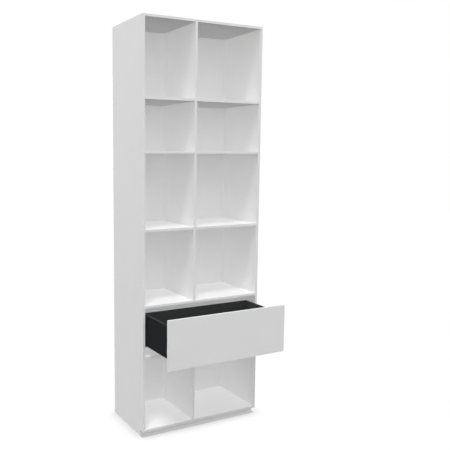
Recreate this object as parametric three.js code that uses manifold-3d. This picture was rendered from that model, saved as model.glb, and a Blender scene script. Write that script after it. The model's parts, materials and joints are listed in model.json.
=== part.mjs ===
// A tall open bookcase with two columns of compartments and one handleless drawer.
// Millimetres, +Z up, the front faces -Y. The drawer is built pulled out, and the origin is
// the bottom centre of the whole piece as it stands like that.
import * as THREE from "three";
import { mergeVertices } from "three/addons/utils/BufferGeometryUtils.js";
import Module from "manifold-3d";

const wasm = await Module();
wasm.setup();

// Carcass: the clear openings and the boards set the overall size
const leftOpening = 272;
const rightOpening = 372;
const tallOpening = 362;
const shortOpening = 242;
const boardThickness = 12;
const carcassDepth = 350;
const plinthHeight = 30;
const plinthSetback = 34;

// Back panel: a thin sheet in grooves, set in from the rear edges
const backThickness = 8;
const backRecess = 23;
const backEntry = 6;

// Bent wire that carries each end of an adjustable shelf, hidden in a groove of the shelf
const wireDiameter = 3;
const wireLegEntry = 5;
const wireStandOff = 3.2;
const wireBend = 2;
const wireFrontInset = 50;
const wireRearInset = 49;
const shelfGrooveDepth = 6.4;
const shelfGrooveStop = 36;

// Levelling feet behind the plinth
const footRadius = 16;
const footPadHeight = 5;
const footStemRadius = 5;
const footFlangeRadius = 12;
const footFlangeHeight = 3;
const footSideInset = 42;
const footEndInset = 34;

// Wall brackets under the top panel, behind the back panel
const bracketWidth = 40;
const bracketSteel = 2;
const bracketDrop = 34;
const bracketInset = 88;
const bracketHoleRadius = 2.6;
const bracketSlotLength = 14;

// Drawer front, a flat lid over the whole bay
const frontThickness = 12;
const frontReveal = 10;
const frontTopGap = 1;
const frontLowGap = 4;
const frontStandOff = 2;

// Drawer box
const boxBoard = 12;
const boxRearClearance = 33;
const boxHeight = 156;
const boxLift = 48;
const boxSideClearance = 16;
const boxBottomThickness = 8;
const boxBottomRecess = 14;
const boxBottomEntry = 5;

// How far the drawer stands open
const openDistance = 226;

// Screws that hold the drawer front to the box
const screwHeadRadius = 4.6;
const screwHeadHeight = 2.6;
const screwShankRadius = 2;
const screwEntry = 8;
const screwSideInset = 96;
const screwEdgeInset = 38;

// Concealed runners: a channel on the cabinet, a channel on the drawer, a rail that links them
const runnerSteel = 1.5;
const runnerWidth = 20;
const runnerInset = 2;
const runnerLip = 6;
const runnerNeck = 3.4;
const runnerStart = 37;
const fixedChannelHeight = 11.5;
const drawerChannelHeight = 15.5;
const channelGap = 0.8;
const runnerEndInset = 6;
const runnerOverrun = 20;
const railShortening = 10;
const flangeHeight = 32;
const flangeHoleRadius = 2.6;
const flangeHoleInset = 24;

// Locking clips that hook the box onto its runners
const clipWidth = 20;
const clipLength = 44;
const clipHeight = 12;
const clipRamp = 8;

// Push latches on the floor of the bay
const latchOffset = 150;
const latchWidth = 18;
const latchHeight = 20;
const latchLength = 66;
const latchSetback = 1;
const latchBoreRadius = 4.2;
const latchBoreDepth = 42;
const plungerRadius = 3.8;
const plungerLength = 38;
const plungerTipRounding = 1.5;

// Fits
const seatGap = 0.2;
const pinGap = 0.3;
const slideGap = 0.4;
const cutOverrun = 2;

// Facets round a full turn
const fineFacets = 24;
const coarseFacets = 12;
const wireFacets = 8;

const halfTurn = Math.PI;
const quarterTurn = halfTurn / 2;

// Levels, from the bottom up: the top face of the board under each row of compartments
const rowHeights = [tallOpening, shortOpening, tallOpening, tallOpening, shortOpening, tallOpening];
const drawerRow = 1;
const rowFloors = [];
let level = plinthHeight + boardThickness;
for (const rowHeight of rowHeights) {
  rowFloors.push(level);
  level += rowHeight + boardThickness;
}
const carcassHeight = level;
const topUnderside = carcassHeight - boardThickness;
const bottomTop = rowFloors[0];

// Places across the width
const carcassWidth = leftOpening + rightOpening + 3 * boardThickness;
const outerLeft = -carcassWidth / 2;
const outerRight = carcassWidth / 2;
const innerLeft = outerLeft + boardThickness;
const innerRight = outerRight - boardThickness;
const dividerLeft = innerLeft + leftOpening;
const dividerRight = dividerLeft + boardThickness;

// Places along the depth
const backFace = carcassDepth - backRecess - backThickness;
const shelfRear = backFace - seatGap;

// Drawer levels, with the drawer shut
const bayFloor = rowFloors[drawerRow];
const bayCeiling = bayFloor + rowHeights[drawerRow];
const boxLow = bayFloor + boxLift;
const boxHigh = boxLow + boxHeight;
const boxBottomLow = boxLow + boxBottomRecess;
const boxBottomHigh = boxBottomLow + boxBottomThickness;
const boxFront = -frontStandOff + seatGap;
const boxRear = backFace - boxRearClearance;
const boxFrontInner = boxFront + boxBoard;
const boxOuter = innerRight - boxSideClearance;
const boxInner = boxOuter - boxBoard;

const white = { color: 0xdedede, roughness: 0.45, metalness: 0 };
const black = { color: 0x2b2c2e, roughness: 0.6, metalness: 0 };
const steel = { color: 0x8f9296, roughness: 0.35, metalness: 0.9 };
const darkSteel = { color: 0x3a3b3d, roughness: 0.5, metalness: 0.6 };
const greyPlastic = { color: 0x9a9b9c, roughness: 0.55, metalness: 0 };

function addPiece(group, name, geometry, look) {
  const mesh = new THREE.Mesh(geometry, new THREE.MeshStandardMaterial(look));
  mesh.name = name;
  group.add(mesh);
  return mesh;
}

// A block between a low and a high value on each axis
function block([xLow, xHigh], [yLow, yHigh], [zLow, zHigh]) {
  const geometry = new THREE.BoxGeometry(xHigh - xLow, yHigh - yLow, zHigh - zLow);
  return geometry.translate((xLow + xHigh) / 2, (yLow + yHigh) / 2, (zLow + zHigh) / 2);
}

function shapeOf(points) {
  return new THREE.Shape(points.map(([across, up]) => new THREE.Vector2(across, up)));
}

// An outline in X and Z, pulled along Y
function pullAlongY(shape, [yLow, yHigh]) {
  const geometry = new THREE.ExtrudeGeometry(shape, { depth: yHigh - yLow, bevelEnabled: false });
  return geometry.rotateX(quarterTurn).translate(0, yHigh, 0);
}

// An outline in Y and Z, pulled along X
function pullAlongX(shape, [xLow, xHigh]) {
  const geometry = new THREE.ExtrudeGeometry(shape, { depth: xHigh - xLow, bevelEnabled: false });
  return geometry.rotateX(quarterTurn).rotateZ(quarterTurn).translate(xLow, 0, 0);
}

function rodAlongY(radius, [yLow, yHigh], x, z, facets) {
  const geometry = new THREE.CylinderGeometry(radius, radius, yHigh - yLow, facets);
  return geometry.translate(x, (yLow + yHigh) / 2, z);
}

function rodAlongX(radius, [xLow, xHigh], y, z, facets) {
  const geometry = new THREE.CylinderGeometry(radius, radius, xHigh - xLow, facets);
  return geometry.rotateZ(quarterTurn).translate((xLow + xHigh) / 2, y, z);
}

function rodAlongZ(radius, [zLow, zHigh], x, y, facets) {
  const geometry = new THREE.CylinderGeometry(radius, radius, zHigh - zLow, facets);
  return geometry.rotateX(quarterTurn).translate(x, y, (zLow + zHigh) / 2);
}

function toSolid(geometry) {
  const bare = geometry.clone();
  bare.deleteAttribute("normal");
  bare.deleteAttribute("uv");
  const merged = mergeVertices(bare);
  return new wasm.Manifold(new wasm.Mesh({
    numProp: 3,
    vertProperties: merged.attributes.position.array,
    triVerts: new Uint32Array(merged.index.array),
  }));
}

function toGeometry(solid) {
  const mesh = solid.getMesh();
  const geometry = new THREE.BufferGeometry();
  geometry.setAttribute("position", new THREE.BufferAttribute(mesh.vertProperties, 3));
  geometry.setIndex(new THREE.BufferAttribute(mesh.triVerts, 1));
  geometry.computeVertexNormals();
  return geometry;
}

function cut(geometry, tools) {
  return toGeometry(tools.reduce((solid, tool) => solid.subtract(toSolid(tool)), toSolid(geometry)));
}

// Both sides of the piece: the sign turns a distance from the middle into a place
const sides = [
  { name: "left", sign: -1, inner: innerLeft },
  { name: "right", sign: 1, inner: innerRight },
];

// The two values in rising order, for the places that a sign may swap
const rising = (a, b) => [Math.min(a, b), Math.max(a, b)];

// The shelf levels and the places along the depth where the wires enter the uprights
const shelfRows = [5, 4, 3];
const wireLevel = (row) => rowFloors[row] - boardThickness / 2;
const wireEntries = [wireFrontInset, shelfRear - wireRearInset];

// Holes for the shelf wires in one face of an upright; direction points into the board
function wireHoles(face, direction) {
  const depth = wireLegEntry + pinGap;
  const reach = rising(face - direction * cutOverrun, face + direction * depth);
  return shelfRows.flatMap((row) => wireEntries.map((entry) =>
    rodAlongX(wireDiameter / 2 + pinGap, reach, entry, wireLevel(row), coarseFacets)));
}

// The groove that takes an edge of the back panel
const backGrooveDepth = backEntry + pinGap;
const backSlot = [backFace - seatGap, backFace + backThickness + seatGap];
const backLevels = [bottomTop - backGrooveDepth, topUnderside + backGrooveDepth];

function makeSidePanel({ sign, inner }) {
  const outer = inner + sign * boardThickness;
  const outline = shapeOf([
    [outer, 0],
    [inner, 0],
    [inner, topUnderside],
    [outer, carcassHeight],
  ]);
  const outwards = rising(outer + sign * cutOverrun, inner - sign * cutOverrun);
  const toeNotch = block(outwards, [-cutOverrun, plinthSetback], [-cutOverrun, plinthHeight]);
  const backGroove = block(
    rising(inner + sign * backGrooveDepth, inner - sign * cutOverrun), backSlot, backLevels);
  return cut(pullAlongY(outline, [0, carcassDepth]),
    [toeNotch, backGroove, ...wireHoles(inner, sign)]);
}

// The top meets the sides in mitres, so its outline narrows downwards
function makeTopPanel() {
  const mitreGap = seatGap * Math.SQRT2;
  const outline = shapeOf([
    [outerLeft + mitreGap, carcassHeight],
    [outerRight - mitreGap, carcassHeight],
    [innerRight - mitreGap, topUnderside],
    [innerLeft + mitreGap, topUnderside],
  ]);
  const groove = block([innerLeft - backGrooveDepth, innerRight + backGrooveDepth], backSlot,
    [topUnderside - cutOverrun, topUnderside + backGrooveDepth]);
  return cut(pullAlongY(outline, [0, carcassDepth]), [groove]);
}

const innerWidth = [innerLeft + seatGap, innerRight - seatGap];

function makeBottomPanel() {
  const panel = block(innerWidth, [0, carcassDepth], [plinthHeight, bottomTop]);
  const groove = block([innerLeft, innerRight], backSlot,
    [bottomTop - backGrooveDepth, bottomTop + cutOverrun]);
  return cut(panel, [groove]);
}

function makeDivider(low, high, holes) {
  const panel = block([dividerLeft, dividerRight], [0, shelfRear], [low + seatGap, high - seatGap]);
  return holes.length ? cut(panel, holes) : panel;
}

// An adjustable shelf with a groove in each end, open at the rear
function makeShelf(low, high, row) {
  const top = rowFloors[row];
  const shelf = block([low + seatGap, high - seatGap], [0, shelfRear], [top - boardThickness, top]);
  const slotReach = wireDiameter / 2 + pinGap;
  const slot = [wireLevel(row) - slotReach, wireLevel(row) + slotReach];
  const run = [shelfGrooveStop, shelfRear + cutOverrun];
  return cut(shelf, [
    block([low - cutOverrun, low + shelfGrooveDepth], run, slot),
    block([high - shelfGrooveDepth, high + cutOverrun], run, slot),
  ]);
}

// A round bar through points on one level, with mitred corners and flat ends
function bentBar(places, z, radius, facets) {
  const points = places.map(([x, y]) => new THREE.Vector2(x, y));
  const headings = points.slice(1).map((point, i) => point.clone().sub(points[i]).normalize());
  const positions = [];
  points.forEach((point, i) => {
    const into = headings[Math.max(i - 1, 0)];
    const out = headings[Math.min(i, headings.length - 1)];
    const mitre = new THREE.Vector2(-into.y - out.y, into.x + out.x).normalize();
    const reach = radius / (mitre.y * into.x - mitre.x * into.y);
    for (let k = 0; k < facets; k += 1) {
      const angle = (2 * halfTurn * k) / facets;
      const offset = reach * Math.cos(angle);
      positions.push(point.x + mitre.x * offset, point.y + mitre.y * offset, z + radius * Math.sin(angle));
    }
  });
  const indices = [];
  const last = headings.length * facets;
  for (let ring = 0; ring < last; ring += facets) {
    for (let k = 0; k < facets; k += 1) {
      const next = (k + 1) % facets;
      indices.push(ring + k, ring + next, ring + facets + k);
      indices.push(ring + next, ring + facets + next, ring + facets + k);
    }
  }
  for (let k = 1; k < facets - 1; k += 1) {
    indices.push(0, k + 1, k);
    indices.push(last, last + k, last + k + 1);
  }
  const geometry = new THREE.BufferGeometry();
  geometry.setAttribute("position", new THREE.Float32BufferAttribute(positions, 3));
  geometry.setIndex(indices);
  geometry.computeVertexNormals();
  return geometry;
}

// The wire stands off the upright; its two legs turn into the holes. away points off the upright
function makeWire(face, away, row) {
  const [front, rear] = wireEntries;
  const bar = face + away * wireStandOff;
  const bendStart = bar - away * wireBend;
  const legEnd = face - away * wireLegEntry;
  return bentBar([
    [legEnd, front],
    [bendStart, front],
    [bar, front + wireBend],
    [bar, rear - wireBend],
    [bendStart, rear],
    [legEnd, rear],
  ], wireLevel(row), wireDiameter / 2, wireFacets);
}

function addCarcass(group) {
  for (const side of sides) addPiece(group, `side_panel_${side.name}`, makeSidePanel(side), white);
  addPiece(group, "top_panel", makeTopPanel(), white);
  addPiece(group, "bottom_panel", makeBottomPanel(), white);

  const fullDepth = [0, shelfRear];
  addPiece(group, "drawer_bay_floor",
    block(innerWidth, fullDepth, [bayFloor - boardThickness, bayFloor]), white);
  addPiece(group, "drawer_bay_top",
    block(innerWidth, fullDepth, [bayCeiling, bayCeiling + boardThickness]), white);

  const holes = [...wireHoles(dividerLeft, 1), ...wireHoles(dividerRight, -1)];
  addPiece(group, "divider_upper", makeDivider(rowFloors[drawerRow + 1], topUnderside, holes), white);
  addPiece(group, "divider_lower", makeDivider(bottomTop, bayFloor - boardThickness, []), white);

  const backPanel = block([innerLeft - backEntry, innerRight + backEntry],
    [backFace, backFace + backThickness], [bottomTop - backEntry, topUnderside + backEntry]);
  addPiece(group, "back_panel", backPanel, white);
}

function addShelves(group) {
  const columns = [
    { name: "left", low: innerLeft, high: dividerLeft },
    { name: "right", low: dividerRight, high: innerRight },
  ];
  for (const { name, low, high } of columns) {
    shelfRows.forEach((row, index) => {
      const label = `${name}_${index + 1}`;
      addPiece(group, `shelf_${label}`, makeShelf(low, high, row), white);
      addPiece(group, `shelf_wire_${label}_a`, makeWire(low, 1, row), steel);
      addPiece(group, `shelf_wire_${label}_b`, makeWire(high, -1, row), steel);
    });
  }
}

// Plinth boards between the side panels, and the feet behind them
function addBase(group) {
  const height = [0, plinthHeight - seatGap];
  const rear = [backFace - boardThickness, backFace];
  addPiece(group, "plinth_front",
    block(innerWidth, [plinthSetback, plinthSetback + boardThickness], height), white);
  addPiece(group, "plinth_back", block(innerWidth, rear, height), white);

  const profile = [
    [0, 0],
    [footRadius, 0],
    [footRadius, footPadHeight / 2],
    [footStemRadius, footPadHeight],
    [footStemRadius, plinthHeight - seatGap - footFlangeHeight],
    [footFlangeRadius, plinthHeight - seatGap - footFlangeHeight],
    [footFlangeRadius, plinthHeight - seatGap],
    [0, plinthHeight - seatGap],
  ].map(([radius, height]) => new THREE.Vector2(radius, height));
  const ends = [
    { name: "front", y: plinthSetback + boardThickness + footEndInset },
    { name: "rear", y: backFace - boardThickness - footEndInset },
  ];
  for (const side of sides) {
    for (const end of ends) {
      const foot = new THREE.LatheGeometry(profile, fineFacets).rotateX(quarterTurn);
      const mesh = addPiece(group, `levelling_foot_${end.name}_${side.name}`, foot, greyPlastic);
      mesh.position.set(side.inner - side.sign * footSideInset, end.y, 0);
    }
  }
}

// An angle of sheet steel: one leg under the top panel, the other along the wall
function makeWallBracket() {
  const high = topUnderside - seatGap;
  const legStart = backFace + backThickness + slideGap;
  const outline = shapeOf([
    [legStart, high - bracketSteel],
    [carcassDepth - bracketSteel, high - bracketSteel],
    [carcassDepth - bracketSteel, high - bracketDrop],
    [carcassDepth, high - bracketDrop],
    [carcassDepth, high],
    [legStart, high],
  ]);
  const angle = pullAlongX(outline, [-bracketWidth / 2, bracketWidth / 2]);
  const wallReach = [carcassDepth - bracketSteel - cutOverrun, carcassDepth + cutOverrun];
  const slotCentre = high - bracketDrop / 2;
  const slotHalf = bracketSlotLength / 2 - bracketHoleRadius;
  const slot = [
    rodAlongY(bracketHoleRadius, wallReach, -slotHalf, slotCentre, coarseFacets),
    rodAlongY(bracketHoleRadius, wallReach, slotHalf, slotCentre, coarseFacets),
    block([-slotHalf, slotHalf], wallReach,
      [slotCentre - bracketHoleRadius, slotCentre + bracketHoleRadius]),
  ];
  const boardReach = [high - bracketSteel - cutOverrun, high + cutOverrun];
  const holeCentre = (legStart + carcassDepth - bracketSteel) / 2;
  const boardHoles = [-bracketWidth / 4, bracketWidth / 4].map((x) =>
    rodAlongZ(bracketHoleRadius, boardReach, x, holeCentre, coarseFacets));
  return cut(angle, [...slot, ...boardHoles]);
}

function addWallBrackets(group) {
  for (const side of sides) {
    const mesh = addPiece(group, `wall_bracket_${side.name}`, makeWallBracket(), steel);
    mesh.position.x = side.inner - side.sign * bracketInset;
  }
}

// Runner levels, counted down from the drawer bottom that rests on the upper channel
const runnerTop = boxBottomLow - seatGap;
const drawerChannelLow = runnerTop - drawerChannelHeight;
const fixedChannelTop = drawerChannelLow - channelGap;
const fixedChannelLow = fixedChannelTop - fixedChannelHeight;

// Distances of the channel walls from the inner face of the side panel
const channelNear = boxSideClearance + boxBoard + runnerInset;
const channelFar = channelNear + runnerWidth;

// Turns a distance from the side panel's inner face into a place across the width
const across = (side) => (distance) => side.inner - side.sign * distance;

// Outline of a channel with lips; it opens from the base level towards the mouth level
function channelPoints(base, mouth) {
  const up = Math.sign(mouth - base) * runnerSteel;
  const lipNear = channelNear + runnerSteel + runnerLip;
  const lipFar = channelFar - runnerSteel - runnerLip;
  return [
    [channelFar, base],
    [channelFar, mouth],
    [lipFar, mouth],
    [lipFar, mouth - up],
    [channelFar - runnerSteel, mouth - up],
    [channelFar - runnerSteel, base + up],
    [channelNear + runnerSteel, base + up],
    [channelNear + runnerSteel, mouth - up],
    [lipNear, mouth - up],
    [lipNear, mouth],
    [channelNear, mouth],
  ];
}

const fixedRun = [runnerStart, boxRear + runnerOverrun];
const drawerRun = [boxFrontInner + runnerEndInset, boxRear - runnerEndInset];
const railRun = [drawerRun[0] + railShortening, drawerRun[1] - railShortening];

// The cabinet member: its channel stands on a web that ends in a flange on the side panel
function makeFixedRunner(side) {
  const place = across(side);
  const points = [
    [seatGap, fixedChannelLow],
    ...channelPoints(fixedChannelLow, fixedChannelTop),
    [channelNear, fixedChannelLow + runnerSteel],
    [seatGap + runnerSteel, fixedChannelLow + runnerSteel],
    [seatGap + runnerSteel, fixedChannelLow + flangeHeight],
    [seatGap, fixedChannelLow + flangeHeight],
  ];
  const outline = shapeOf(points.map(([distance, z]) => [place(distance), z]));
  const reach = rising(place(0), place(seatGap + runnerSteel + cutOverrun));
  const holeLevel = fixedChannelLow + (runnerSteel + flangeHeight) / 2;
  const holes = [fixedRun[0] + flangeHoleInset, fixedRun[1] - flangeHoleInset].map((y) =>
    rodAlongX(flangeHoleRadius, reach, y, holeLevel, coarseFacets));
  return cut(pullAlongY(outline, fixedRun), holes);
}

// The linking rail: a wide foot in the cabinet channel, a neck, a wide head in the drawer channel
function makeMiddleRail(side) {
  const place = across(side);
  const near = channelNear + runnerSteel + slideGap;
  const far = channelFar - runnerSteel - slideGap;
  const middle = (channelNear + channelFar) / 2;
  const neckNear = middle - runnerNeck / 2;
  const neckFar = middle + runnerNeck / 2;
  const footLow = fixedChannelLow + runnerSteel + slideGap;
  const footHigh = fixedChannelTop - runnerSteel - slideGap;
  const headLow = drawerChannelLow + runnerSteel + slideGap;
  const headHigh = runnerTop - runnerSteel - slideGap;
  const outline = shapeOf([
    [near, footLow],
    [far, footLow],
    [far, footHigh],
    [neckFar, footHigh],
    [neckFar, headLow],
    [far, headLow],
    [far, headHigh],
    [near, headHigh],
    [near, headLow],
    [neckNear, headLow],
    [neckNear, footHigh],
    [near, footHigh],
  ].map(([distance, z]) => [place(distance), z]));
  return pullAlongY(outline, railRun);
}

function makeDrawerRunner(side) {
  const place = across(side);
  const points = [[channelNear, runnerTop], ...channelPoints(runnerTop, drawerChannelLow)];
  return pullAlongY(shapeOf(points.map(([distance, z]) => [place(distance), z])), drawerRun);
}

// A moulded clip beside the runner, with a sloped finger pad at its rear end
function makeClip(side) {
  const place = across(side);
  const start = boxFrontInner + slideGap;
  const end = start + clipLength;
  const low = runnerTop - clipHeight;
  const outline = shapeOf([
    [start, low],
    [end - clipRamp, low],
    [end, low + clipRamp],
    [end, runnerTop],
    [start, runnerTop],
  ]);
  const near = channelFar + slideGap;
  return pullAlongX(outline, rising(place(near), place(near + clipWidth)));
}

// The screw places in the drawer front, seen from the front
const screwPlaces = [];
for (const side of sides) {
  for (const [name, z] of [["low", boxBottomHigh + screwEdgeInset], ["high", boxHigh - screwEdgeInset]]) {
    screwPlaces.push({ name: `${side.name}_${name}`, x: side.sign * (boxInner - screwSideInset), z });
  }
}
const screwHoles = ([yLow, yHigh]) => screwPlaces.map(({ x, z }) =>
  rodAlongY(screwShankRadius + pinGap, [yLow, yHigh], x, z, coarseFacets));

// A pan head screw: the shank points to the front, the head sits inside the box
function makeScrew() {
  const seat = boxFrontInner + seatGap;
  const tip = -frontStandOff - screwEntry;
  const profile = [
    [0, tip],
    [screwShankRadius, tip],
    [screwShankRadius, seat],
    [screwHeadRadius, seat],
    [screwHeadRadius, seat + screwHeadHeight / 2],
    [screwHeadRadius / 2, seat + screwHeadHeight],
    [0, seat + screwHeadHeight],
  ].map(([radius, along]) => new THREE.Vector2(radius, along));
  return new THREE.LatheGeometry(profile, coarseFacets);
}

function makeDrawerFront() {
  const half = outerRight - frontReveal;
  const panel = block([-half, half], [-frontStandOff - frontThickness, -frontStandOff],
    [bayFloor + frontLowGap, bayCeiling - frontTopGap]);
  return cut(panel, screwHoles([-frontStandOff - screwEntry - pinGap, cutOverrun]));
}

// The grooves that take the drawer bottom
const bottomSlot = [boxBottomLow - seatGap, boxBottomHigh + seatGap];
const bottomGrooveDepth = boxBottomEntry + pinGap;

function makeBoxSide({ sign }) {
  const panel = block(rising(sign * boxInner, sign * boxOuter), [boxFront, boxRear], [boxLow, boxHigh]);
  const reach = rising(sign * (boxInner - cutOverrun), sign * (boxInner + bottomGrooveDepth));
  return cut(panel, [block(reach, [boxFrontInner - bottomGrooveDepth, boxRear + cutOverrun], bottomSlot)]);
}

function makeBoxFront() {
  const half = boxInner - seatGap;
  const panel = block([-half, half], [boxFront, boxFrontInner], [boxLow, boxHigh]);
  const groove = block([-half - cutOverrun, half + cutOverrun],
    [boxFrontInner - bottomGrooveDepth, boxFrontInner + cutOverrun], bottomSlot);
  return cut(panel, [groove, ...screwHoles([boxFront - cutOverrun, boxFrontInner + cutOverrun])]);
}

function addDrawer(group) {
  addPiece(group, "drawer_front", makeDrawerFront(), white);
  for (const side of sides) addPiece(group, `drawer_side_${side.name}`, makeBoxSide(side), black);
  addPiece(group, "drawer_inner_front", makeBoxFront(), black);

  const half = boxInner - seatGap;
  addPiece(group, "drawer_back",
    block([-half, half], [boxRear - boxBoard, boxRear], [boxBottomHigh + seatGap, boxHigh]), black);

  const bottomHalf = boxInner + boxBottomEntry;
  addPiece(group, "drawer_bottom", block([-bottomHalf, bottomHalf],
    [boxFrontInner - boxBottomEntry, boxRear], [boxBottomLow, boxBottomHigh]), black);

  for (const { name, x, z } of screwPlaces) {
    const mesh = addPiece(group, `front_screw_${name}`, makeScrew(), darkSteel);
    mesh.position.set(x, 0, z);
  }
  for (const side of sides) {
    addPiece(group, `runner_drawer_${side.name}`, makeDrawerRunner(side), steel);
    addPiece(group, `runner_clip_${side.name}`, makeClip(side), darkSteel);
  }
}

// A push latch: a housing with a rounded top, and a sprung plunger in its bore
const plungerLevel = latchHeight / 2;

function makeLatchHousing() {
  const half = latchWidth / 2;
  const corner = latchHeight / 4;
  const outline = new THREE.Shape();
  outline.moveTo(-half, 0);
  outline.lineTo(half, 0);
  outline.lineTo(half, latchHeight - corner);
  outline.absarc(half - corner, latchHeight - corner, corner, 0, quarterTurn);
  outline.absarc(-half + corner, latchHeight - corner, corner, quarterTurn, halfTurn);
  outline.closePath();
  const geometry = new THREE.ExtrudeGeometry(outline, {
    depth: latchLength,
    bevelEnabled: false,
    curveSegments: coarseFacets / 4,
  });
  const body = geometry.rotateX(quarterTurn).translate(0, latchSetback + latchLength, 0);
  const bore = rodAlongY(latchBoreRadius, [latchSetback - cutOverrun, latchSetback + latchBoreDepth],
    0, plungerLevel, fineFacets);
  return cut(body, [bore]);
}

function makePlunger() {
  const tip = -frontStandOff + pinGap;
  const profile = [
    [0, tip],
    [plungerRadius - plungerTipRounding, tip],
    [plungerRadius, tip + plungerTipRounding],
    [plungerRadius, tip + plungerLength],
    [0, tip + plungerLength],
  ].map(([radius, along]) => new THREE.Vector2(radius, along));
  return new THREE.LatheGeometry(profile, fineFacets);
}

function addLatches(group) {
  for (const side of sides) {
    const x = side.sign * latchOffset;
    const floor = bayFloor + seatGap;
    addPiece(group, `latch_housing_${side.name}`, makeLatchHousing(), greyPlastic)
      .position.set(x, 0, floor);
    addPiece(group, `latch_plunger_${side.name}`, makePlunger(), darkSteel)
      .position.set(x, 0, floor + plungerLevel);
  }
}

function buildBookcase() {
  const cabinet = new THREE.Group();
  addCarcass(cabinet);
  addShelves(cabinet);
  addBase(cabinet);
  addWallBrackets(cabinet);
  addLatches(cabinet);
  for (const side of sides) addPiece(cabinet, `runner_fixed_${side.name}`, makeFixedRunner(side), steel);

  // The linking rails travel half as far as the drawer
  const rails = new THREE.Group();
  rails.position.y = -openDistance / 2;
  for (const side of sides) addPiece(rails, `runner_middle_${side.name}`, makeMiddleRail(side), steel);

  const drawer = new THREE.Group();
  drawer.position.y = -openDistance;
  addDrawer(drawer);

  const bookcase = new THREE.Group();
  bookcase.add(cabinet, rails, drawer);
  const frontmost = -openDistance - frontStandOff - frontThickness;
  bookcase.position.y = -(frontmost + carcassDepth) / 2;
  return bookcase;
}

const bookcase = buildBookcase();
export default bookcase;
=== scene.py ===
import json
import math

import bmesh
import bpy
from mathutils import Matrix, Vector


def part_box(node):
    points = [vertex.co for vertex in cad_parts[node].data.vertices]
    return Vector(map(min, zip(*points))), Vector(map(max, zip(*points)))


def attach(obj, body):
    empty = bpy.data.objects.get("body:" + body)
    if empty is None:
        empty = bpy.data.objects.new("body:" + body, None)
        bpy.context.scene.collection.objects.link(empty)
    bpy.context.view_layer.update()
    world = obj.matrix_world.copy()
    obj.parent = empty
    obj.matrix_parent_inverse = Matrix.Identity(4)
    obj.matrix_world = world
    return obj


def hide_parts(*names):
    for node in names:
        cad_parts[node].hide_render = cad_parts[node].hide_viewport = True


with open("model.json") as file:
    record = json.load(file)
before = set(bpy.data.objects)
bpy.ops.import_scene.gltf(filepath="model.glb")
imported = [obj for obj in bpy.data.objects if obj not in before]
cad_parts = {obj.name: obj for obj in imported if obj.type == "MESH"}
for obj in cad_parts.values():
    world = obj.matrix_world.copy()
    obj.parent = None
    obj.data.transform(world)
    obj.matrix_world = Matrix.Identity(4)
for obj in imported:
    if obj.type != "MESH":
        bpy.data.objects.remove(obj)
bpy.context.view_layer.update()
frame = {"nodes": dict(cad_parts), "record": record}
nodes = frame["nodes"]
slots = {entry["node"]: entry["material_slot"] for entry in frame["record"]["subparts"]}

# Camera: place in metres, degrees below level and to the right, shifts as shares of the picture
CAMERA_PLACE = (-1.59911, -2.61234, 1.39058)
CAMERA_DOWN = 6.716
CAMERA_RIGHT = 26.597
CAMERA_SENSOR = 36.0
CAMERA_LENS = 48.150
CAMERA_SHIFT_X = 0.17360
CAMERA_SHIFT_Y = 0.00623

# Colours, as linear reflectance
WHITE = (0.62, 0.62, 0.62)
# The drawer box's black comes as lit and shaded copies of one finish: the outside darker as painted shade,
# the inside lighter as painted light.
BLACK_OUTSIDE_SHADED = (0.0183, 0.0192, 0.0210)
BLACK_INSIDE_LIT = (0.0405, 0.0415, 0.0425)
# The top edges of the box: a greyer edge band, made lighter still as a painted highlight.
BLACK_EDGE_AND_HIGHLIGHT = (0.040, 0.041, 0.043)
STEEL = (0.55, 0.56, 0.58)
SCREW_STEEL = (0.12, 0.12, 0.125)
GREY_PLASTIC = (0.50, 0.50, 0.50)
DARK_PLASTIC = (0.05, 0.05, 0.053)

# Noise: how many octaves it has, and the middle stretch of it that a colour runs across
COARSE_DETAIL = 2.0
FINE_DETAIL = 3.0
NOISE_LOW = 0.3
NOISE_HIGH = 0.7

# Surfaces: noise scales per metre, changes of tone and roughness, relief as strength and metres.
# The streaks of the metal come from noise that is stretched along Y.
BOARD_CLOUDS = 9
BOARD_GLOSS = 160
BOARD_GRAIN = 1400
BOARD_TINT = 0.01
BOARD_ROUGH_CHANGE = 0.05
BOARD_RELIEF = (0.12, 0.0002)
METAL_SPOTS = 120
METAL_STREAKS = 420
METAL_STRETCH = (1, 0.06, 1)
METAL_TINT = 0.07
METAL_ROUGH_CHANGE = 0.1
METAL_RELIEF = (0.1, 0.0001)
PLASTIC_CLOUDS = 40
PLASTIC_GLOSS = 300
PLASTIC_GRAIN = 2500
PLASTIC_TINT = 0.04
PLASTIC_ROUGH_CHANGE = 0.04
PLASTIC_RELIEF = (0.15, 0.0001)

# Light: a sky that is dimmer overhead, one sun that casts shadows, and plain fills that don't.
# Each lamp has its name, heading, strength, angle in degrees, and whether it casts shadows.
SKY_HORIZON = 1.40
SKY_ZENITH = 0.02
LAMPS = [
    ("key", (0.30, 0.35, -1.0), 1.46, 15, True),
    ("fill_left", (1, 0, 0), 1.16, 0, False),
    ("fill_right", (-1, 0, 0), 0.80, 0, False),
    ("fill_front", (0, 1, 0), 1.09, 0, False),
    ("fill_back", (0, -1, 0), 1.54, 0, False),
    ("fill_top", (0, 0, -1), 2.06, 0, False),
]

# Floor: a white that the lamps add a little to, with painted shade close to the object and a painted
# shadow under it
FLOOR_SHARE = 0.06
FLOOR_GLOW = 0.93
FLOOR_BOUNCE = 0.08
FLOOR_REACH = 12.0
CONTACT_REACH = 0.08
CONTACT_DARK = 0.46
CONTACT_FULL = 0.95
CONTACT_SAMPLES = 32
# The painted shadow under the carcass: its level, and how far behind the front it starts.
UNDER_DARK = 0.48
UNDER_SETBACK = 0.008

# Softened edges of the boards, and the angle below which a round piece shades smoothly
BOARD_ROUNDING = 0.0004
ROUNDING_SEGMENTS = 2
CORNER_ANGLE = math.radians(40)
FLAT_ANGLE = math.radians(0.5)
SMOOTH_ANGLE = math.radians(35)
MERGE_DISTANCE = 0.00001

# A face whose normal rises above this looks up
UPWARD = 0.5

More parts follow.
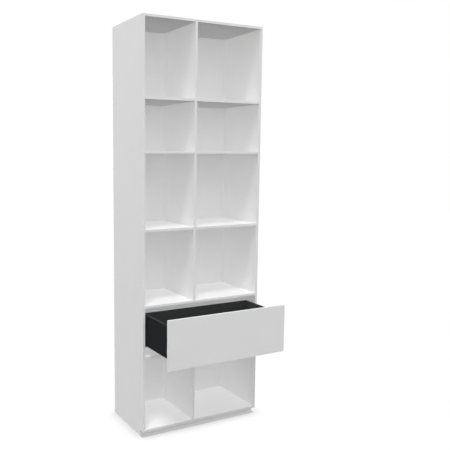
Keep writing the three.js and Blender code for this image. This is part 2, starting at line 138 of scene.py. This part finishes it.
# Screws drawn here: head radius, head height, shank radius
FRONT_SCREW = (0.0046, 0.0026, 0.0020)
RUNNER_SCREW = (0.0042, 0.0022, 0.0020)
BRACKET_SCREW = (0.0042, 0.0024, 0.0020)
CABINET_SCREW_GRIP = 0.010
SCREW_TURNS = 48

# Shape of a screw: rings of its crown, then shares of its own radius or height
CROWN_STEPS = 24
CROWN_SIDE_SHARE = 0.45
CROWN_REACH_SHARE = 0.98
TIP_SHARE = 0.15
RECESS_RADIUS_SHARE = 0.56
RECESS_WIDTH_SHARE = 0.13
RECESS_DEPTH_SHARE = 0.62
RECESS_TAPER_SHARE = 0.5

# Screw holes of the CAD, in metres from an end or the middle of the piece, and sheet thickness
FLANGE_HOLE_INSET = 0.024
FLANGE_HOLE_LEVEL = 0.01675
FLANGE_SHEET = 0.0015
BRACKET_SHEET = 0.002
BRACKET_HOLE_OFFSET = 0.010


def add_camera():
    data = bpy.data.cameras.new("camera")
    data.sensor_width = CAMERA_SENSOR
    data.lens = CAMERA_LENS
    data.shift_x = CAMERA_SHIFT_X
    data.shift_y = CAMERA_SHIFT_Y
    camera = bpy.data.objects.new("camera", data)
    camera.location = CAMERA_PLACE
    camera.rotation_euler = (math.radians(90 - CAMERA_DOWN), 0, math.radians(-CAMERA_RIGHT))
    bpy.context.scene.collection.objects.link(camera)
    bpy.context.scene.camera = camera


def new_material(name):
    material = bpy.data.materials.new(name)
    material.use_nodes = True
    tree = material.node_tree
    return material, tree, tree.nodes["Principled BSDF"]


def object_coords(tree):
    return tree.nodes.new("ShaderNodeTexCoord").outputs["Object"]


def noise(tree, coords, scale, detail=COARSE_DETAIL):
    node = tree.nodes.new("ShaderNodeTexNoise")
    node.inputs["Scale"].default_value = scale
    node.inputs["Detail"].default_value = detail
    tree.links.new(coords, node.inputs["Vector"])
    return node.outputs["Fac"]


def spread(tree, value, low, high):
    """Turn a value that runs from 0 to 1 into one that runs from low to high."""
    node = tree.nodes.new("ShaderNodeMapRange")
    node.inputs["To Min"].default_value = low
    node.inputs["To Max"].default_value = high
    tree.links.new(value, node.inputs["Value"])
    return node.outputs["Result"]


def tint(tree, value, color, change):
    """The color, darker and lighter by this share where the value is low and high."""
    node = tree.nodes.new("ShaderNodeValToRGB")
    low, high = node.color_ramp.elements
    low.position = NOISE_LOW
    high.position = NOISE_HIGH
    low.color = (*[c * (1 - change) for c in color], 1)
    high.color = (*[c * (1 + change) for c in color], 1)
    tree.links.new(value, node.inputs["Fac"])
    return node.outputs["Color"]


def set_roughness(tree, shader, value, middle, change):
    rough = spread(tree, value, middle - change, middle + change)
    tree.links.new(rough, shader.inputs["Roughness"])


def bump(tree, shader, height, strength, distance):
    node = tree.nodes.new("ShaderNodeBump")
    node.inputs["Strength"].default_value = strength
    node.inputs["Distance"].default_value = distance
    tree.links.new(height, node.inputs["Height"])
    tree.links.new(node.outputs["Normal"], shader.inputs["Normal"])


def board(name, color, rough, specular):
    """A melamine face: an even tone, slightly cloudy, with a fine grain in the surface."""
    material, tree, shader = new_material(name)
    shader.inputs["Specular IOR Level"].default_value = specular
    coords = object_coords(tree)
    clouds = noise(tree, coords, BOARD_CLOUDS, FINE_DETAIL)
    tree.links.new(tint(tree, clouds, color, BOARD_TINT), shader.inputs["Base Color"])
    set_roughness(tree, shader, noise(tree, coords, BOARD_GLOSS), rough, BOARD_ROUGH_CHANGE)
    bump(tree, shader, noise(tree, coords, BOARD_GRAIN, FINE_DETAIL), *BOARD_RELIEF)
    return material


def metal(name, color, rough):
    """Rolled sheet: streaks along Y, as the runners are drawn that way."""
    material, tree, shader = new_material(name)
    shader.inputs["Metallic"].default_value = 1.0
    coords = object_coords(tree)
    stretched = tree.nodes.new("ShaderNodeMapping")
    stretched.inputs["Scale"].default_value = METAL_STRETCH
    tree.links.new(coords, stretched.inputs["Vector"])
    streaks = noise(tree, stretched.outputs["Vector"], METAL_STREAKS, FINE_DETAIL)
    spots = noise(tree, coords, METAL_SPOTS, FINE_DETAIL)
    tree.links.new(tint(tree, spots, color, METAL_TINT), shader.inputs["Base Color"])
    set_roughness(tree, shader, streaks, rough, METAL_ROUGH_CHANGE)
    bump(tree, shader, streaks, *METAL_RELIEF)
    return material


def plastic(name, color, rough):
    """Moulded plastic with a fine spark-eroded grain."""
    material, tree, shader = new_material(name)
    coords = object_coords(tree)
    clouds = noise(tree, coords, PLASTIC_CLOUDS)
    tree.links.new(tint(tree, clouds, color, PLASTIC_TINT), shader.inputs["Base Color"])
    set_roughness(tree, shader, noise(tree, coords, PLASTIC_GLOSS), rough, PLASTIC_ROUGH_CHANGE)
    bump(tree, shader, noise(tree, coords, PLASTIC_GRAIN), *PLASTIC_RELIEF)
    return material


looks = {
    "white_board": board("white_board", WHITE, rough=0.5, specular=0.2),
    # The drawer box's blacks: the inside lightened as painted light, the outside darkened as painted
    # shade, the top edges lightened as a painted highlight on an edge band.
    "black_board": board("black_board", BLACK_INSIDE_LIT, rough=0.8, specular=0.02),
    "black_outside_shaded": board("black_outside_shaded", BLACK_OUTSIDE_SHADED, rough=0.8, specular=0.0),
    "black_edge_and_highlight": board("black_edge_and_highlight", BLACK_EDGE_AND_HIGHLIGHT, rough=0.8, specular=0.0),
    "steel": metal("steel", STEEL, rough=0.36),
    "screw_steel": metal("screw_steel", SCREW_STEEL, rough=0.42),
    "grey_plastic": plastic("grey_plastic", GREY_PLASTIC, rough=0.5),
    "dark_plastic": plastic("dark_plastic", DARK_PLASTIC, rough=0.45),
}


def add_look(mesh, name):
    """Give the mesh one more material, and return its index there."""
    mesh.materials.append(looks[name])
    return len(mesh.materials) - 1


def finish_drawer_box():
    """The box boards get a top edge that is a greyer edge band lightened further as a painted highlight,
    and outer faces in a darker copy of the black than the inside: painted shade outside, painted light
    inside.
    """
    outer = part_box("drawer_side_right")[1].x
    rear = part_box("drawer_back")[1].y
    margin = BOARD_ROUNDING
    for name, slot in slots.items():
        if slot != "black_board" or name == "drawer_bottom":
            continue
        mesh = nodes[name].data
        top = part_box(name)[1].z
        outside = add_look(mesh, "black_outside_shaded")
        edge = add_look(mesh, "black_edge_and_highlight")
        for face in mesh.polygons:
            # Upward faces at the top take the edge band, lightened further as a painted highlight.
            if face.normal.z > UPWARD and face.center.z > top - margin:
                face.material_index = edge
            # Outer faces take the darker copy of the black, as painted shade.
            elif abs(face.center.x) > outer - margin or face.center.y > rear - margin:
                face.material_index = outside


def smooth_by_angle():
    """Geometry nodes that shade faces smoothly and keep the edges above SMOOTH_ANGLE sharp."""
    group = bpy.data.node_groups.new("smooth_by_angle", "GeometryNodeTree")
    group.interface.new_socket("Geometry", in_out="INPUT", socket_type="NodeSocketGeometry")
    group.interface.new_socket("Geometry", in_out="OUTPUT", socket_type="NodeSocketGeometry")
    start = group.nodes.new("NodeGroupInput")
    end = group.nodes.new("NodeGroupOutput")
    faces = group.nodes.new("GeometryNodeSetShadeSmooth")
    edges = group.nodes.new("GeometryNodeSetShadeSmooth")
    edges.domain = "EDGE"
    angle = group.nodes.new("GeometryNodeInputMeshEdgeAngle")
    gentle = group.nodes.new("FunctionNodeCompare")
    gentle.operation = "LESS_THAN"
    gentle.inputs["B"].default_value = SMOOTH_ANGLE
    group.links.new(angle.outputs["Unsigned Angle"], gentle.inputs["A"])
    group.links.new(start.outputs[0], faces.inputs["Geometry"])
    group.links.new(faces.outputs[0], edges.inputs["Geometry"])
    group.links.new(gentle.outputs["Result"], edges.inputs["Shade Smooth"])
    group.links.new(edges.outputs[0], end.inputs[0])
    return group


def merge_corners(obj):
    weld = obj.modifiers.new("merge", "WELD")
    weld.merge_threshold = MERGE_DISTANCE


def round_edges(obj):
    merge_corners(obj)
    flat = obj.modifiers.new("join_flat", "DECIMATE")
    flat.decimate_type = "DISSOLVE"
    flat.delimit = {"MATERIAL"}
    flat.angle_limit = FLAT_ANGLE
    bevel = obj.modifiers.new("round_edges", "BEVEL")
    bevel.width = BOARD_ROUNDING
    bevel.segments = ROUNDING_SEGMENTS
    bevel.limit_method = "ANGLE"
    bevel.angle_limit = CORNER_ANGLE


def finish_nodes():
    smooth = smooth_by_angle()
    for name, obj in nodes.items():
        obj.data.materials.clear()
        obj.data.materials.append(looks[slots[name]])
        if "custom_normal" in obj.data.attributes:
            obj.data.attributes.remove(obj.data.attributes["custom_normal"])
        obj.data.shade_flat()
        if slots[name] in ("white_board", "black_board"):
            round_edges(obj)
        else:
            merge_corners(obj)
            obj.modifiers.new("smooth", "NODES").node_group = smooth


def recess_depth(u, v, head):
    """How deep the cross recess is at this place on the head, in metres."""
    radius, height, _ = head
    reach = RECESS_RADIUS_SHARE * radius
    half = RECESS_WIDTH_SHARE * radius
    along = max(abs(u), abs(v))
    aside = min(abs(u), abs(v))
    if aside > half or along > reach:
        return 0.0
    return RECESS_DEPTH_SHARE * height * (1 - RECESS_TAPER_SHARE * along / reach)


def screw_rings(head, length):
    """The outline from the crown to the tip, as (radius, level) pairs; level 0 is the seat."""
    radius, height, shank = head
    rings = []
    for step in range(1, CROWN_STEPS + 1):
        share = step / CROWN_STEPS
        dome = math.sqrt(1 - (CROWN_REACH_SHARE * share) ** 2)
        rings.append((radius * share, height * (CROWN_SIDE_SHARE + (1 - CROWN_SIDE_SHARE) * dome)))
    return rings + [(radius, 0.0), (shank, 0.0), (shank, -length + shank), (shank * TIP_SHARE, -length)]


def add_screw(name, body, seat, facing, head, length, stands_for=()):
    """A pan head screw with a cross recess. seat is under the head, and facing is where the head looks."""
    mesh = bmesh.new()
    loops = []
    for radius, level in screw_rings(head, length):
        loop = []
        for turn in range(SCREW_TURNS):
            angle = 2 * math.pi * turn / SCREW_TURNS
            u = radius * math.cos(angle)
            v = radius * math.sin(angle)
            sunk = recess_depth(u, v, head) if level > 0 else 0.0
            loop.append(mesh.verts.new((u, v, level - sunk)))
        loops.append(loop)
    crown = mesh.verts.new((0, 0, head[1] - recess_depth(0, 0, head)))
    tip = mesh.verts.new((0, 0, -length))
    for k in range(SCREW_TURNS):
        after = (k + 1) % SCREW_TURNS
        mesh.faces.new((crown, loops[0][k], loops[0][after]))
        mesh.faces.new((tip, loops[-1][after], loops[-1][k]))
        for inner, outer in zip(loops, loops[1:]):
            mesh.faces.new((inner[k], outer[k], outer[after], inner[after]))
    data = bpy.data.meshes.new(name)
    mesh.to_mesh(data)
    mesh.free()
    turned = Vector((0, 0, 1)).rotation_difference(Vector(facing)).to_matrix().to_4x4()
    data.transform(Matrix.Translation(seat) @ turned)
    data.materials.append(looks["screw_steel"])
    obj = bpy.data.objects.new(name, data)
    bpy.context.scene.collection.objects.link(obj)
    obj.modifiers.new("smooth", "NODES").node_group = bpy.data.node_groups["smooth_by_angle"]
    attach(obj, body)
    if stands_for:
        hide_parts(*stands_for)


def add_front_screws(side):
    """The two that hold the drawer front on this side, in place of the plain ones of the CAD."""
    for level in ("low", "high"):
        node = f"front_screw_{side}_{level}"
        low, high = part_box(node)
        seat = ((low.x + high.x) / 2, high.y - FRONT_SCREW[1], (low.z + high.z) / 2)
        add_screw(f"pan_screw_{side}_{level}", "drawer", seat, (0, 1, 0), FRONT_SCREW,
                  seat[1] - low.y, [node])


def add_runner_screws(side, sign):
    """The two in the flange of the cabinet member; sign is -1 on the left and 1 on the right."""
    low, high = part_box(f"runner_fixed_{side}")
    flange = (high.x if sign > 0 else low.x) - sign * FLANGE_SHEET
    level = low.z + FLANGE_HOLE_LEVEL
    for end, y in (("front", low.y + FLANGE_HOLE_INSET), ("rear", high.y - FLANGE_HOLE_INSET)):
        add_screw(f"runner_screw_{side}_{end}", "cabinet", (flange, y, level),
                  (-sign, 0, 0), RUNNER_SCREW, CABINET_SCREW_GRIP)


def add_bracket_screws(side):
    """The two that hold the wall bracket under the top panel."""
    low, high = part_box(f"wall_bracket_{side}")
    middle = (low.x + high.x) / 2
    depth = (low.y + high.y - BRACKET_SHEET) / 2
    level = high.z - BRACKET_SHEET
    for label, offset in (("a", -BRACKET_HOLE_OFFSET), ("b", BRACKET_HOLE_OFFSET)):
        add_screw(f"bracket_screw_{side}_{label}", "cabinet", (middle + offset, depth, level),
                  (0, 0, -1), BRACKET_SCREW, CABINET_SCREW_GRIP)


def add_screws():
    for sign, side in ((-1, "left"), (1, "right")):
        add_front_screws(side)
        add_runner_screws(side, sign)
        add_bracket_screws(side)


def math_node(tree, operation, first, second=None):
    node = tree.nodes.new("ShaderNodeMath")
    node.operation = operation
    for socket, value in zip(node.inputs, (first, second)):
        if isinstance(value, bpy.types.NodeSocket):
            tree.links.new(value, socket)
        elif value is not None:
            socket.default_value = value
    return node.outputs[0]


def is_seen(tree):
    """1 for what the camera sees, straight or in a reflection, and 0 for light that bounces."""
    path = tree.nodes.new("ShaderNodeLightPath")
    value = path.outputs["Is Camera Ray"]
    for other in ("Is Glossy Ray", "Is Transmission Ray"):
        value = math_node(tree, "MAXIMUM", value, path.outputs[other])
    return value


def is_under_carcass(tree):
    """1 on the floor that the carcass covers, up to a little behind its front, and 0 outside it: the mask
    of the painted shadow under the carcass.
    """
    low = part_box("side_panel_left")[0] + Vector((0, UNDER_SETBACK, 0))
    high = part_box("side_panel_right")[1]
    place = tree.nodes.new("ShaderNodeSeparateXYZ")
    tree.links.new(object_coords(tree), place.inputs[0])
    inside = []
    for axis in (0, 1):
        middle = (low[axis] + high[axis]) / 2
        half = (high[axis] - low[axis]) / 2
        off = math_node(tree, "ABSOLUTE", math_node(tree, "SUBTRACT", place.outputs[axis], middle))
        inside.append(math_node(tree, "LESS_THAN", off, half))
    return math_node(tree, "MULTIPLY", *inside)


def matte(tree, level):
    """A plain diffuse shader in a grey of this reflectance."""
    node = tree.nodes.new("ShaderNodeBsdfDiffuse")
    node.inputs["Color"].default_value = (level, level, level, 1)
    return node.outputs[0]


def floor_glow(tree):
    """The floor's own white: painted shade from an occlusion test close to the object, and a painted
    shadow under the carcass.
    """
    contact = tree.nodes.new("ShaderNodeAmbientOcclusion")
    contact.samples = CONTACT_SAMPLES
    contact.inputs["Distance"].default_value = CONTACT_REACH
    fade = tree.nodes.new("ShaderNodeMapRange")
    fade.inputs["From Max"].default_value = CONTACT_FULL
    fade.inputs["To Min"].default_value = FLOOR_GLOW * CONTACT_DARK
    fade.inputs["To Max"].default_value = FLOOR_GLOW
    tree.links.new(contact.outputs["AO"], fade.inputs["Value"])
    level = tree.nodes.new("ShaderNodeMapRange")
    level.inputs["To Max"].default_value = FLOOR_GLOW * UNDER_DARK
    tree.links.new(fade.outputs["Result"], level.inputs["To Min"])
    tree.links.new(is_under_carcass(tree), level.inputs["Value"])
    glow = tree.nodes.new("ShaderNodeEmission")
    glow.inputs["Color"].default_value = (1, 1, 1, 1)
    tree.links.new(level.outputs["Result"], glow.inputs["Strength"])
    return glow.outputs[0]


def floor_material():
    """What is seen of the floor glows and takes a little light; what bounces off it is dim."""
    material = bpy.data.materials.new("floor")
    material.use_nodes = True
    tree = material.node_tree
    tree.nodes.remove(tree.nodes["Principled BSDF"])
    shown = tree.nodes.new("ShaderNodeAddShader")
    tree.links.new(matte(tree, FLOOR_SHARE), shown.inputs[0])
    tree.links.new(floor_glow(tree), shown.inputs[1])
    pick = tree.nodes.new("ShaderNodeMixShader")
    tree.links.new(is_seen(tree), pick.inputs["Fac"])
    tree.links.new(matte(tree, FLOOR_BOUNCE), pick.inputs[1])
    tree.links.new(shown.outputs[0], pick.inputs[2])
    tree.links.new(pick.outputs[0], tree.nodes["Material Output"].inputs["Surface"])
    return material


def add_floor():
    mesh = bpy.data.meshes.new("floor")
    corners = [(-1, -1), (1, -1), (1, 1), (-1, 1)]
    mesh.from_pydata([(x * FLOOR_REACH, y * FLOOR_REACH, 0) for x, y in corners], [], [(0, 1, 2, 3)])
    mesh.materials.append(floor_material())
    floor = bpy.data.objects.new("floor", mesh)
    bpy.context.scene.collection.objects.link(floor)


def add_sky():
    """A sky that is plain white where it is seen, and lights the object less from overhead."""
    world = bpy.data.worlds.new("world")
    bpy.context.scene.world = world
    world.use_nodes = True
    tree = world.node_tree
    background = tree.nodes["Background"]
    background.inputs["Color"].default_value = (1, 1, 1, 1)
    direction = tree.nodes.new("ShaderNodeSeparateXYZ")
    tree.links.new(tree.nodes.new("ShaderNodeTexCoord").outputs["Generated"], direction.inputs[0])
    by_height = spread(tree, direction.outputs["Z"], SKY_HORIZON, SKY_ZENITH)
    strength = tree.nodes.new("ShaderNodeMapRange")
    tree.links.new(is_seen(tree), strength.inputs["Value"])
    tree.links.new(by_height, strength.inputs["To Min"])
    tree.links.new(strength.outputs["Result"], background.inputs["Strength"])


def add_lamps():
    """The suns of LAMPS. Only those that cast shadows show in glossy reflections."""
    for name, heading, energy, angle, shadow in LAMPS:
        data = bpy.data.lights.new(name, "SUN")
        data.energy = energy
        data.angle = math.radians(angle)
        data.use_shadow = shadow
        lamp = bpy.data.objects.new(name, data)
        lamp.rotation_euler = Vector(heading).to_track_quat("-Z", "Y").to_euler()
        lamp.visible_glossy = shadow
        bpy.context.scene.collection.objects.link(lamp)


add_camera()
finish_nodes()
finish_drawer_box()
add_screws()
add_floor()
add_sky()
add_lamps()
bpy.context.scene.view_settings.view_transform = "Standard"
